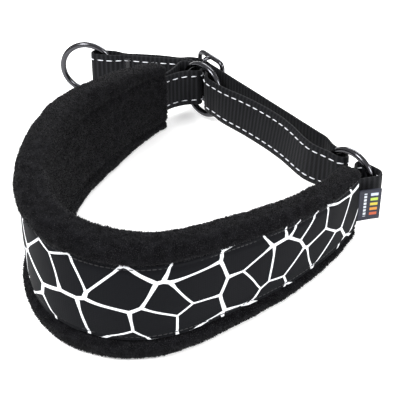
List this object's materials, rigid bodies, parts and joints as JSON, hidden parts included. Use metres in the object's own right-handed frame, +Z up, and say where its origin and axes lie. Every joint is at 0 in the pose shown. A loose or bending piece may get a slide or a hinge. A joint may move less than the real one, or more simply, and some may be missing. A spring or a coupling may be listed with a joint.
{
  "type": "martingale_collar",
  "caption": "Padded martingale dog collar: plush-lined band with a web-line print, black webbing control loop, round side rings and leash ring.",
  "frame": {"origin": "bounding box bottom centre, on the surface the lower edge of the band rests on", "axes": "+X to the band end with the label, +Y from the front of the band toward the rings, +Z up"},
  "size_m": [0.1952, 0.2716, 0.074],
  "materials": {
    "foam": "matte",
    "plush": "short pile",
    "shell_fabric": "matte print",
    "thread": "matte",
    "webbing": "ribbed weave",
    "label_weave": "woven",
    "black_metal": "black nickel, glossy"
  },
  "bodies": {
    "collar": {"foam_core": "foam", "plush_lining": "plush", "plush_roll_top": "plush", "plush_roll_bottom": "plush", "outer_panel": "shell_fabric", "seam_top": "thread", "seam_bottom": "thread", "end_seam_left": "shell_fabric", "end_seam_right": "shell_fabric", "tab_left": "webbing", "tab_right": "webbing", "woven_label": "label_weave", "control_loop": "webbing"},
    "left_ring": {"ring_left": "black_metal"},
    "right_ring": {"ring_right": "black_metal"},
    "slider": {"slider_frame": "black_metal", "slider_bar": "black_metal"},
    "leash_end": {"leash_leg": "webbing", "leg_bartack": "thread"},
    "leash_ring_body": {"leash_ring": "black_metal"}
  },
  "joints": [
    {"name": "leash_leg_swing", "type": "hinge", "parent": "collar", "child": "leash_end", "pos_m": [-0.01763, 0.12117, 0.0225], "axis": [0, 0, 1], "range_deg": [-25, 25]},
    {"name": "leash_ring_turn", "type": "hinge", "parent": "leash_end", "child": "leash_ring_body", "pos_m": [-0.07883, 0.1311, 0.0225], "axis": [-0.16, -0.9871, 0], "continuous": true},
    {"name": "left_ring_turn", "type": "hinge", "parent": "collar", "child": "left_ring", "pos_m": [-0.00158, 0.10067, 0.0225], "axis": [0.7507, 0.6606, 0], "continuous": true},
    {"name": "right_ring_turn", "type": "hinge", "parent": "collar", "child": "right_ring", "pos_m": [0.08192, -0.00534, 0.0225], "axis": [0.7507, 0.6606, 0], "continuous": true},
    {"name": "slider_slide", "type": "slide", "parent": "collar", "child": "slider", "axis": [0.5829, -0.8126, 0], "range_m": [0, 0.045]}
  ]
}
